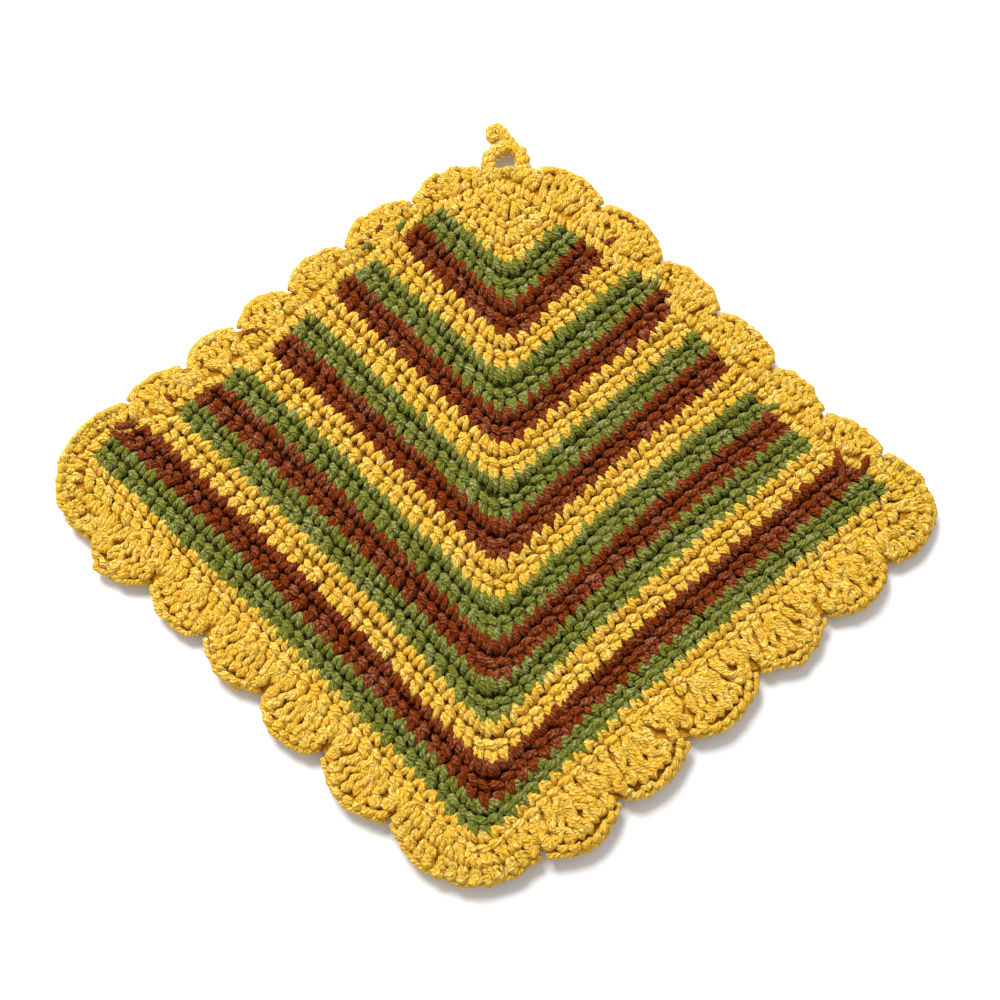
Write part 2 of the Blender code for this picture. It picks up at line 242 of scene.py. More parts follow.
class Graph:
    """The nodes of one material, added by type."""

    def __init__(self, material: bpy.types.Material) -> None:
        """Empty the material's nodes.

        Args:
            material: the material to fill.
        """
        material.use_nodes = True
        self.tree = material.node_tree
        self.tree.nodes.clear()

    def add(self, kind: str, settings: Optional[dict] = None, **inputs: Any) -> bpy.types.Node:
        """Add a node, set it up and feed its inputs.

        Args:
            kind: the node's type name.
            settings: attributes of the node, set before its inputs.
            **inputs: values, sockets or terms by input name, with _ for a space, or in0, in1 by place.

        Returns:
            The new node.
        """
        node = self.tree.nodes.new(kind)
        for name, value in (settings or {}).items():
            setattr(node, name, value)
        for name, value in inputs.items():
            if name.startswith("in") and name[2:].isdigit():
                target = node.inputs[int(name[2:])]
            else:
                target = node.inputs[name.replace("_", " ")]
            if isinstance(value, Term):
                value = value.socket
            if isinstance(value, bpy.types.NodeSocket):
                self.tree.links.new(value, target)
            else:
                target.default_value = value
        return node

    def term(self, kind: str, output: Union[int, str] = 0, settings: Optional[dict] = None,
             **inputs: Any) -> "Term":
        """Add a node and wrap one of its outputs, as add() does."""
        return Term(self, self.add(kind, settings, **inputs).outputs[output])

    def noise(self, scale: float, detail: float, roughness: float = 0.5) -> "Term":
        """A noise from 0 to 1 over the object."""
        place = self.term("ShaderNodeTexCoord", "Object")
        return self.term("ShaderNodeTexNoise", "Fac", None, Vector=place, Scale=scale, Detail=detail,
                         Roughness=roughness)

    def mix(self, share: Operand, first: Any, second: Any) -> "Term":
        """Mix two colours by a share from 0 to 1."""
        ends = [(*colour, 1.0) if isinstance(colour, tuple) else colour for colour in (first, second)]
        node = self.add("ShaderNodeMix", {"data_type": "RGBA"}, in0=share, in6=ends[0], in7=ends[1])
        return Term(self, node.outputs[2])


class Term:
    """A number in a material, for arithmetic written as Python expressions."""

    def __init__(self, graph: Graph, socket: bpy.types.NodeSocket) -> None:
        """Wrap an output socket of a graph."""
        self.graph = graph
        self.socket = socket

    def _math(self, operation: str, first: Operand, second: Operand = 0.0) -> "Term":
        """Add a Math node for one operation on two operands."""
        return self.graph.term("ShaderNodeMath", 0, {"operation": operation}, in0=first, in1=second)

    def __add__(self, other: Operand) -> "Term":
        """Sum with another operand."""
        return self._math("ADD", self, other)

    def __sub__(self, other: Operand) -> "Term":
        """Difference from another operand."""
        return self._math("SUBTRACT", self, other)

    def __rsub__(self, other: Operand) -> "Term":
        """Another operand less this one."""
        return self._math("SUBTRACT", other, self)

    def __mul__(self, other: Operand) -> "Term":
        """Product with another operand."""
        return self._math("MULTIPLY", self, other)

    __radd__ = __add__
    __rmul__ = __mul__

    def sine(self) -> "Term":
        """Sine, in radians."""
        return self._math("SINE", self)

    def clamped(self) -> "Term":
        """The same, held between 0 and 1."""
        return self.graph.term("ShaderNodeClamp", 0, None, Value=self)


# ------------------------------------------------------------------ finishes

@dataclass(frozen=True)
class YarnFinish:
    """Plied yarn: its colour darkened by painted shade in the grooves, its colour on the plies, and its
    painted pale sheen.
    """

    name: str
    # painted shade: the darker colour where the ply and fibre bumps are low
    painted_groove_shade: Colour
    body: Colour
    # painted sheen: the pale colour of highlights on the fibres and ply crests
    painted_sheen: Colour
    roughness: float = 0.78
    plies: int = 4
    relief: float = 0.00028         # height of the plies and fibres, in metres
    wander_scale: float = 700.0     # of the noise that bends the plies
    fibre_scale: float = 1800.0
    cloud_scale: float = 300.0      # of the patches where the painted sheen shows more
    sheen_from: float = 1.5          # what the painted sheen's noises together must pass, and how fast the painted sheen comes in
    sheen_gain: float = 1.6
    glow: float = 0.5               # share of the light that travels inside the yarn
    glow_reach: float = 0.0005

    def material(self) -> bpy.types.Material:
        """Build the yarn's material.

        Returns:
            A material that reads the strand's UV map (turns along, share round) and its tone.
        """
        material = bpy.data.materials.new(self.name)
        graph = Graph(material)
        along_and_round = graph.add("ShaderNodeSeparateXYZ",
                                    Vector=graph.term("ShaderNodeUVMap", 0, {"uv_map": "strand"}))
        turns, round_share = (Term(graph, along_and_round.outputs[i]) for i in (0, 1))
        tone = graph.term("ShaderNodeAttribute", "Fac", {"attribute_name": "tone"})
        wander = graph.noise(self.wander_scale, 1.0)
        ply = ((turns + round_share + wander * 0.5) * (2 * math.pi * self.plies)).sine() * 0.5 + 0.5
        fibre = graph.noise(self.fibre_scale, 2.0, 0.55)
        cloud = graph.noise(self.cloud_scale, 2.0)
        # painted shade: the colour goes towards the groove colour where the ply and fibre bumps are low
        shade = (ply * 0.3 + fibre * 1.3 - 0.15).clamped()
        body = graph.mix(shade, self.painted_groove_shade, self.body)
        # painted sheen: pale highlights where random tone, patches, ply crests and fibres add up
        sheen_sum = tone * 0.3 + cloud * 0.6 + ply * 0.3 + fibre * 1.8
        pale = ((sheen_sum - self.sheen_from) * self.sheen_gain).clamped()
        colour = graph.mix(pale, body, self.painted_sheen)
        relief = graph.add("ShaderNodeBump", None, Strength=1.0, Distance=self.relief,
                           Height=ply * 0.8 + fibre)
        shader = graph.add("ShaderNodeBsdfPrincipled", None, Base_Color=colour,
                           Roughness=(self.roughness + 0.15 * (1 - ply)).clamped(), Normal=relief.outputs[0])
        shader.inputs["Specular IOR Level"].default_value = 0.05
        shader.inputs["Subsurface Weight"].default_value = self.glow
        shader.inputs["Subsurface Radius"].default_value = (1.0, 1.0, 1.0)
        shader.inputs["Subsurface Scale"].default_value = self.glow_reach
        graph.add("ShaderNodeOutputMaterial", None, Surface=shader.outputs[0])
        return material


YARNS = {
    # each yarn: its painted groove shade, its own colour, its painted sheen
    YarnColour.YELLOW: YarnFinish(
        "yellow yarn", (0.62, 0.27, 0.010), (0.79, 0.50, 0.052), (0.91, 0.70, 0.23)),
    YarnColour.GREEN: YarnFinish(
        "green yarn", (0.085, 0.092, 0.002), (0.190, 0.200, 0.026), (0.35, 0.37, 0.16)),
    YarnColour.RUST: YarnFinish(
        "rust yarn", (0.115, 0.009, 0.001), (0.200, 0.037, 0.003), (0.34, 0.14, 0.07)),
}


@dataclass(frozen=True)
class ShadedGroundFinish:
    """The matted yarn deep between the strands, its colour darkened as painted shade."""

    name: str
    colour: Colour
    dark: float = 0.2               # shares of the colour at the two ends of a random grain, lowered as painted shade deep in the cloth
    light: float = 0.6
    grain_scale: float = 1400.0
    relief: float = 0.0008

    def material(self) -> bpy.types.Material:
        """Build a matt, mottled material in the yarn's colour darkened as painted shade."""
        material = bpy.data.materials.new(self.name)
        graph = Graph(material)
        grain = graph.noise(self.grain_scale, 3.0)
        # painted shade: the groove colour at the dark and light shares, mottled by the grain
        colour = graph.mix(grain, tuple(self.dark * c for c in self.colour),
                           tuple(self.light * c for c in self.colour))
        relief = graph.add("ShaderNodeBump", None, Strength=1.0, Distance=self.relief, Height=grain)
        shader = graph.add("ShaderNodeBsdfPrincipled", None, Base_Color=colour, Roughness=0.95,
                           Normal=relief.outputs[0])
        shader.inputs["Specular IOR Level"].default_value = 0.1
        graph.add("ShaderNodeOutputMaterial", None, Surface=shader.outputs[0])
        return material


@dataclass(frozen=True)
class TableFinish:
    """The plain pale table."""

    colour: Colour = (0.86, 0.86, 0.87)
    roughness: float = 0.6
    patch_scale: float = 6.0
    patch_tone: float = 0.985       # share of the colour in its darker patches

    def material(self) -> bpy.types.Material:
        """Build a plain matt material with a trace of unevenness."""
        material = bpy.data.materials.new("pale table")
        graph = Graph(material)
        shade = graph.noise(self.patch_scale, 3.0) * 0.5
        colour = graph.mix(shade, self.colour, tuple(c * self.patch_tone for c in self.colour))
        shader = graph.add("ShaderNodeBsdfPrincipled", None, Base_Color=colour, Roughness=self.roughness)
        graph.add("ShaderNodeOutputMaterial", None, Surface=shader.outputs[0])
        return material


# ------------------------------------------------------------------ lines and rows

class Line:
    """A line of points in the plane, read by the distance along it."""

    def __init__(self, points: Sequence, closed: bool = False) -> None:
        """Measure the line.

        Args:
            points: its corners.
            closed: whether the last point joins the first.
        """
        self.points = np.asarray(points, dtype=float)
        self.closed = closed
        self.corners = np.vstack((self.points, self.points[:1])) if closed else self.points
        steps = np.linalg.norm(np.diff(self.corners, axis=0), axis=1)
        self.starts = np.concatenate(([0.0], np.cumsum(steps)))
        self.length = float(self.starts[-1])

    def at(self, distance: np.ndarray) -> np.ndarray:
        """The points at some distances along the line; past the ends of an open line it runs straight on."""
        distance = np.asarray(distance, dtype=float)
        if self.closed:
            distance = np.mod(distance, self.length)
        found = np.stack([np.interp(distance, self.starts, self.corners[:, k]) for k in (0, 1)], axis=-1)
        if not self.closed and self.length > 0:
            first = (self.corners[1] - self.corners[0]) / (self.starts[1] - self.starts[0])
            last = (self.corners[-1] - self.corners[-2]) / (self.starts[-1] - self.starts[-2])
            found += np.minimum(distance, 0.0)[..., None] * first
            found += np.maximum(distance - self.length, 0.0)[..., None] * last
        return found

    def nearest(self, target: np.ndarray) -> float:
        """The distance along the line of its point nearest to a target."""
        sides = np.diff(self.corners, axis=0)
        lengths = np.maximum((sides ** 2).sum(axis=1), 1e-12)
        share = np.clip(((target - self.corners[:-1]) * sides).sum(axis=1) / lengths, 0.0, 1.0)
        gaps = np.linalg.norm(self.corners[:-1] + sides * share[:, None] - target, axis=1)
        best = int(np.argmin(gaps))
        return float(self.starts[best] + share[best] * math.sqrt(lengths[best]))

    def offset(self, distance: Union[float, np.ndarray]) -> "Line":
        """The line moved to its left by one distance or one for each point: outwards if clockwise."""
        sides = np.diff(self.corners, axis=0)
        sides /= np.maximum(np.linalg.norm(sides, axis=1), 1e-9)[:, None]
        if self.closed:
            before, after = np.roll(sides, 1, axis=0), sides
        else:
            before, after = np.vstack((sides[:1], sides)), np.vstack((sides, sides[-1:]))
        normal = np.stack((-before[:, 1] - after[:, 1], before[:, 0] + after[:, 0]), axis=-1)
        normal /= np.maximum(np.linalg.norm(normal, axis=1), 1e-9)[:, None]
        cosine = -normal[:, 0] * before[:, 1] + normal[:, 1] * before[:, 0]
        return Line(self.points + normal * (distance / np.maximum(cosine, 0.5))[:, None], self.closed)


def curve_through(points: np.ndarray, steps: int) -> np.ndarray:
    """A smooth curve through some points.

    Args:
        points: the points that it passes.
        steps: how many stretches lie between two of them.

    Returns:
        The points of the curve.
    """
    padded = np.vstack((2 * points[0] - points[1], points, 2 * points[-1] - points[-2]))
    t = (np.arange(steps) / steps)[:, None]
    curve = []
    for p0, p1, p2, p3 in zip(padded, padded[1:], padded[2:], padded[3:]):
        curve.append(0.5 * (2 * p1 + (p2 - p0) * t + (2 * p0 - 5 * p1 + 4 * p2 - p3) * t ** 2
                            + (3 * p1 - p0 - 3 * p2 + p3) * t ** 3))
    return np.vstack(curve + [points[-1:]])


def directions(edge: Line) -> tuple[np.ndarray, np.ndarray]:
    """The way from the first point of an edge to its last, and the way to the left of that."""
    along = edge.points[-1] - edge.points[0]
    along /= np.linalg.norm(along)
    return along, np.array((-along[1], along[0]))


def lifted(path: np.ndarray, height: float) -> np.ndarray:
    """A path raised by a height."""
    return path + np.array((0.0, 0.0, height, 0.0))


class Stitch(NamedTuple):
    """One point that the yarn passes in a stitch."""

    along: float        # in widths of a stitch, from its middle
    rise: float         # in heights of the row, from its base
    depth: float        # in millimetres in front of the cloth's middle
    thick: float        # share of the yarn's full thickness


SINGLE_CROCHET = [             # a V on the stitch's face, and on its back a slanted bar below a pointed knob
    Stitch(-0.31, 0.84, 0.20, 0.90),
    Stitch(-0.27, 0.63, 0.90, 1.08),
    Stitch(-0.17, 0.32, 1.06, 1.15),
    Stitch(-0.08, 0.04, 0.96, 1.08),
    Stitch(-0.03, -0.13, 0.40, 0.85),
    Stitch(0.00, -0.04, -0.30, 0.75),
    Stitch(0.04, -0.13, 0.40, 0.85),
    Stitch(0.09, 0.04, 0.96, 1.08),
    Stitch(0.18, 0.32, 1.06, 1.15),
    Stitch(0.28, 0.63, 0.90, 1.08),
    Stitch(0.32, 0.84, 0.20, 0.90),
    Stitch(0.54, 0.04, -0.30, 0.95),
    Stitch(0.32, 0.17, -0.96, 1.22),
    Stitch(0.00, 0.28, -1.06, 1.34),
    Stitch(-0.30, 0.42, -0.96, 1.22),
    Stitch(-0.38, 0.56, -0.50, 0.90),
    Stitch(-0.17, 0.72, -0.92, 1.08),
    Stitch(-0.17, 0.98, -1.06, 1.18),
    Stitch(-0.10, 1.28, -0.85, 1.02),
    Stitch(-0.02, 1.52, -0.45, 0.80),
    Stitch(0.08, 1.22, -0.88, 1.02),
    Stitch(0.18, 0.92, -1.06, 1.18),
    Stitch(0.20, 0.68, -0.86, 1.08),
    Stitch(0.36, 0.62, -0.20, 0.80),
]

DOUBLE_CROCHET = [             # short strands at its foot, and knobs in two arcs above them
    Stitch(0.00, -0.06, 0.10, 0.85),
    Stitch(-0.18, 0.08, 0.92, 1.00),
    Stitch(-0.24, 0.24, 1.02, 1.05),
    Stitch(-0.10, 0.35, 0.88, 0.95),
    Stitch(0.18, 0.40, 1.02, 1.20),
    Stitch(0.25, 0.50, 1.10, 1.30),
    Stitch(0.00, 0.56, 1.00, 1.15),
    Stitch(-0.25, 0.62, 1.06, 1.20),
    Stitch(-0.22, 0.74, 1.12, 1.30),
    Stitch(0.04, 0.80, 1.08, 1.30),
    Stitch(0.27, 0.73, 1.02, 1.20),
    Stitch(0.32, 0.56, 0.50, 0.90),
    Stitch(0.24, 0.34, 0.60, 0.95),
    Stitch(0.18, 0.20, 1.02, 1.05),
    Stitch(0.14, 0.07, 0.90, 1.00),
    Stitch(0.04, -0.05, 0.10, 0.85),
    Stitch(-0.20, 0.14, -0.96, 1.10),
    Stitch(0.16, 0.30, -1.04, 1.20),
    Stitch(0.20, 0.44, -1.04, 1.20),
    Stitch(-0.18, 0.52, -1.04, 1.20),
    Stitch(-0.20, 0.68, -1.06, 1.25),
    Stitch(0.18, 0.72, -1.04, 1.20),
    Stitch(0.30, 0.40, -0.30, 0.90),
]

NOTCH_CROCHET = [s._replace(rise=min(s.rise, 1.0)) for s in SINGLE_CROCHET]

RIM_FACE = [                   # the near half of the chain along the tops
    Stitch(-0.44, 0.84, 0.65, 0.95),
    Stitch(-0.22, 0.89, 0.98, 1.15),
    Stitch(0.10, 0.92, 1.06, 1.30),
    Stitch(0.38, 0.89, 0.82, 1.05),
]

RIM_BACK = [Stitch(s.along, s.rise, -s.depth, s.thick) for s in RIM_FACE]

RIM_EDGE = [                   # and the strand along its outer edge
    Stitch(-0.28, 1.04, 0.45, 1.00),
    Stitch(0.14, 1.06, 0.20, 1.05),
]


class Row:
    """A row of stitches between the line where they are rooted and the line of their tops."""

    SHIFT = 0.04        # how unevenly the stitches stand, as a share of their width and height
    SWELL = 0.05        # how unevenly they are drawn tight
    WOBBLE = 0.05       # how far the yarn strays in a stitch, in millimetres

    def __init__(self, base: Line, top: Line, pitch: float, count: Optional[int] = None) -> None:
        """Share the row out in stitches.

        Args:
            base: where the stitches are rooted.
            top: the line along their tops.
            pitch: about how wide a stitch is.
            count: how many stitches there are, where the pitch doesn't say.
        """
        self.base = base
        self.top = top
        self.count = count or max(1, round(top.length / pitch))

    def root(self, number: np.ndarray) -> np.ndarray:
        """Where on the base a place in the row is rooted, from 0 to 1: in proportion."""
        return number / self.count

    def place(self, number: np.ndarray, rise: np.ndarray) -> np.ndarray:
        """The points in the plane for places in the row, counted in stitches, and heights in it."""
        foot = self.base.at(self.root(number) * self.base.length)
        return foot + (self.top.at(number / self.count * self.top.length) - foot) * rise[:, None]

    def path(self, stitches: Sequence[Stitch], front: int, rng: np.random.Generator,
             backwards: bool = False, loose: float = 1.0, flipped: float = 0.0) -> np.ndarray:
        """The yarn's path through the whole row.

        Args:
            stitches: the points of one stitch.
            front: 1 where the stitches face up, -1 where their back does.
            rng: the source of the small differences between stitches.
            backwards: whether the row is worked from its end to its start.
            loose: how uneven the stitches are.
            flipped: the share of the stitches that lean the other way.

        Returns:
            An array of points: x, y, depth and share of the yarn's thickness.
        """
        shape = np.asarray(stitches, dtype=float)
        centres = np.arange(self.count) + 0.5
        turn = 1.0
        if backwards:
            centres, turn = centres[::-1], -1.0
        shift = rng.normal(0.0, self.SHIFT, (self.count, 3)) * loose
        swell = rng.normal(1.0, self.SWELL, (self.count, 1))
        lean = np.where(rng.random((self.count, 1)) < flipped, -turn, turn)
        number = centres[:, None] + lean * shape[None, :, 0] * swell + shift[:, :1]
        rise = shape[None, :, 1] + shift[:, 1:2]
        depth = front * shape[None, :, 2] + shift[:, 2:3] * 1.5
        thick = shape[None, :, 3] * swell
        wobble = rng.normal(0.0, self.WOBBLE, (self.count * len(shape), 3)) * loose
        flat = self.place(number.ravel(), rise.ravel())
        points = np.column_stack((flat, depth.ravel())) + wobble
        return np.column_stack((points, thick.ravel()))


class VRow(Row):
    """A row of the square: its stitches stand square to both arms and fan out round the tip."""

    def __init__(self, base: Line, top: Line, pitch: float, base_count: int) -> None:
        """Share the row out in an odd number of stitches, with one at the tip.

        Args:
            base: where the stitches are rooted.
            top: the line along their tops.
            pitch: about how wide a stitch is.
            base_count: how many stitches the row below has.
        """
        count = 2 * round((top.length / pitch - 1) / 2) + 1
        super().__init__(base, top, pitch, max(count, base_count, 1))
        self.base_count = base_count

    def root(self, number: np.ndarray) -> np.ndarray:
        """A stitch stands on the same stitch of the row below, and those at the tip crowd together."""
        spread = min(TIP_STITCHES, self.count)
        side = (self.count - spread) / 2
        arm = max(self.base_count - TIP_ROOTS, 0.0) / 2
        share = arm / side if side else 1.0
        inside = arm + (number - side) * (self.base_count - 2 * arm) / spread
        beyond = self.base_count - (self.count - number) * share
        found = np.where(number < side, number * share, np.where(number < side + spread, inside, beyond))
        return found / self.base_count

    def place(self, number: np.ndarray, rise: np.ndarray) -> np.ndarray:
        """As in any row, but the tops of the stitches lean towards the tip."""
        towards = np.clip((self.count / 2 - number) / 2, -1.0, 1.0)
        return super().place(number + TOP_LEAN * towards * np.clip(rise - 0.8, 0.0, 1.0), rise)


class ShellRow(Row):
    """The fan of one scallop: most of its stitches share a foot, and the outermost stand by the notches."""

    def root(self, number: np.ndarray) -> np.ndarray:
        """The further from the middle, the faster the roots move away from the foot."""
        side = np.clip(2 * number / self.count - 1, -1.2, 1.2)
        return 0.5 + 0.5 * (SHELL_SPREAD * side + (1 - SHELL_SPREAD) * side ** 3)


# ------------------------------------------------------------------ strands of yarn

def winding(path: np.ndarray, lead: float) -> np.ndarray:
    """How many times something that winds round a path has gone round, at each of its points."""
    steps = np.linalg.norm(np.diff(path, axis=0), axis=1)
    return np.concatenate(([0.0], np.cumsum(steps))) / lead


class YarnMesh:
    """Collects strands of one yarn and makes them a single piece."""

    def __init__(self, seed: int, radius: float = YARN_RADIUS, sides: int = YARN_SIDES) -> None:
        """Start empty.

        Args:
            seed: for the small differences in thickness and tone.
            radius: the strand's radius in millimetres.
            sides: how many faces go round it.
        """
        self.rng = np.random.default_rng(seed)
        self.radius = radius
        self.sides = sides
        self.verts: list[np.ndarray] = []
        self.quads: list[np.ndarray] = []
        self.caps: list[list[int]] = []
        self.uvs: list[np.ndarray] = []
        self.tones: list[np.ndarray] = []
        self.count = 0

    def strand(self, points: np.ndarray) -> None:
        """Add one strand along a path.

        Args:
            points: its points in millimetres, with the share of the yarn's thickness.
        """
        path, thick = points[:, :3].copy(), points[:, 3] * self.radius
        path[:, 2] = np.maximum(path[:, 2], thick + TABLE_GAP)
        count, sides = len(path), self.sides
        tangent = np.gradient(path, axis=0)
        tangent /= np.maximum(np.linalg.norm(tangent, axis=1), 1e-9)[:, None]
        across = np.empty_like(path)
        guide = np.cross(tangent[0], (0.0, 0.0, 1.0))
        if np.linalg.norm(guide) < 0.1:
            guide = np.cross(tangent[0], (1.0, 0.0, 0.0))
        across[0] = guide / np.linalg.norm(guide)
        for i in range(1, count):
            moved = across[i - 1] - tangent[i] * float(across[i - 1] @ tangent[i])
            across[i] = moved / max(float(np.linalg.norm(moved)), 1e-9)
        upward = np.cross(tangent, across)
        angle = np.arange(sides) * (2 * math.pi / sides)
        cosine, sine = np.cos(angle)[None, :, None], np.sin(angle)[None, :, None]
        ring = across[:, None] * cosine + upward[:, None] * sine
        self.verts.append((path[:, None] + ring * thick[:, None, None]).reshape(-1, 3))
        index = self.count + np.arange(count * sides).reshape(count, sides)
        following = np.roll(index, -1, axis=1)
        quads = np.stack((index[:-1], following[:-1], following[1:], index[1:]), axis=-1)
        self.quads.append(quads.reshape(-1, 4))
        self.caps += [index[0, ::-1].tolist(), index[-1].tolist()]
        turns = winding(path, PLY_LEAD)
        share = np.arange(sides + 1) / sides
        low, high = (np.broadcast_to(end[:, None], (count - 1, sides)) for end in (turns[:-1], turns[1:]))
        left, right = (np.broadcast_to(end, (count - 1, sides)) for end in (share[:-1], share[1:]))
        corners = [np.stack(pair, -1) for pair in ((low, left), (low, right), (high, right), (high, left))]
        self.uvs.append(np.stack(corners, axis=2).reshape(-1, 2))
        steps = self.rng.uniform(0.0, 1.0, count // POINTS_PER_TONE + 2)
        tone = np.interp(np.arange(count) / POINTS_PER_TONE, np.arange(len(steps)), steps)
        self.tones.append(np.repeat(tone, sides))
        self.count += count * sides

    def piece(self, name: str, material: bpy.types.Material, slot: str) -> bpy.types.Object:
        """Make the strands one mesh object.

        Args:
            name: the piece's name.
            material: its finish.
            slot: not used.

        Returns:
            The object, riding on the cloth's body.
        """
        verts = np.concatenate(self.verts) * MM
        quads = np.concatenate(self.quads)
        mesh = bpy.data.meshes.new(name)
        mesh.from_pydata(verts, [], quads.tolist() + self.caps)
        uv_layer = mesh.uv_layers.new(name="strand")
        flat = np.zeros((len(mesh.loops), 2), dtype=np.float32)
        filled = np.concatenate(self.uvs)
        flat[:len(filled)] = filled
        uv_layer.data.foreach_set("uv", flat.ravel())
        tone = mesh.attributes.new("tone", "FLOAT", "POINT")
        tone.data.foreach_set("value", np.concatenate(self.tones).astype(np.float32))
        mesh.materials.append(material)
        mesh.shade_smooth()
        mesh.validate()
        obj = bpy.data.objects.new(name, mesh)
        bpy.context.scene.collection.objects.link(obj)
        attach(obj, BODY)
        log.info("%s: %d faces", name, len(mesh.polygons))
        return obj


def sheet_rims(columns: int, rows: int, closed: bool) -> list[list[int]]:
    """The point numbers round the edge of a sheet, or round both edges of a ring."""
    last = (rows - 1) * columns
    if closed:
        return [list(range(columns - 1, -1, -1)), list(range(last, last + columns))]
    return [[*range(columns - 1, 0, -1), *range(0, last + 1, columns), *range(last + 1, last + columns),
             *range(last - 1, columns, -columns)]]


def thin_cloth(name: str, lines: list[np.ndarray], closed: bool, half: float,
               materials: list[bpy.types.Material], bands: Sequence[int]) -> bpy.types.Object:
    """A thin closed sheet in the middle of the cloth, through lines that all have as many points.

    Args:
        name: the piece's name.
        lines: the lines, each an array of points in the plane.
        closed: whether each line joins its own start.
        half: half its thickness.
        materials: its finishes.
        bands: which finish lies between each line and the next.

    Returns:
        The sheet, riding on the cloth's body.
    """
    columns, rows = len(lines[0]), len(lines)
    flat = np.concatenate(lines)
    bottom = len(flat)
    verts = np.vstack([np.column_stack((flat, np.full(bottom, height)))
                       for height in (CLOTH_MIDDLE + half, CLOTH_MIDDLE - half)])
    faces, slots = [], []
    for row in range(rows - 1):
        for i in range(columns if closed else columns - 1):
            a, b = row * columns + i, row * columns + (i + 1) % columns
            c, d = b + columns, a + columns
            faces += [(a, b, c, d), (bottom + d, bottom + c, bottom + b, bottom + a)]
            slots += [bands[row]] * 2
    for rim in sheet_rims(columns, rows, closed):
        for a, b in zip(rim, rim[1:] + rim[:1]):
            faces.append((a, b, bottom + b, bottom + a))
            slots.append(bands[0])
    mesh = bpy.data.meshes.new(name)
    mesh.from_pydata(verts * MM, [], faces)
    for material in materials:
        mesh.materials.append(material)
    mesh.polygons.foreach_set("material_index", slots)
    obj = bpy.data.objects.new(name, mesh)
    bpy.context.scene.collection.objects.link(obj)
    bpy.ops.object.select_all(action="DESELECT")
    bpy.context.view_layer.objects.active = obj
    obj.select_set(True)
    bpy.ops.object.mode_set(mode="EDIT")
    bpy.ops.mesh.select_all(action="SELECT")
    bpy.ops.mesh.normals_make_consistent(inside=False)
    bpy.ops.object.mode_set(mode="OBJECT")
    obj.select_set(False)
    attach(obj, BODY)
    return obj


# ------------------------------------------------------------------ the striped square

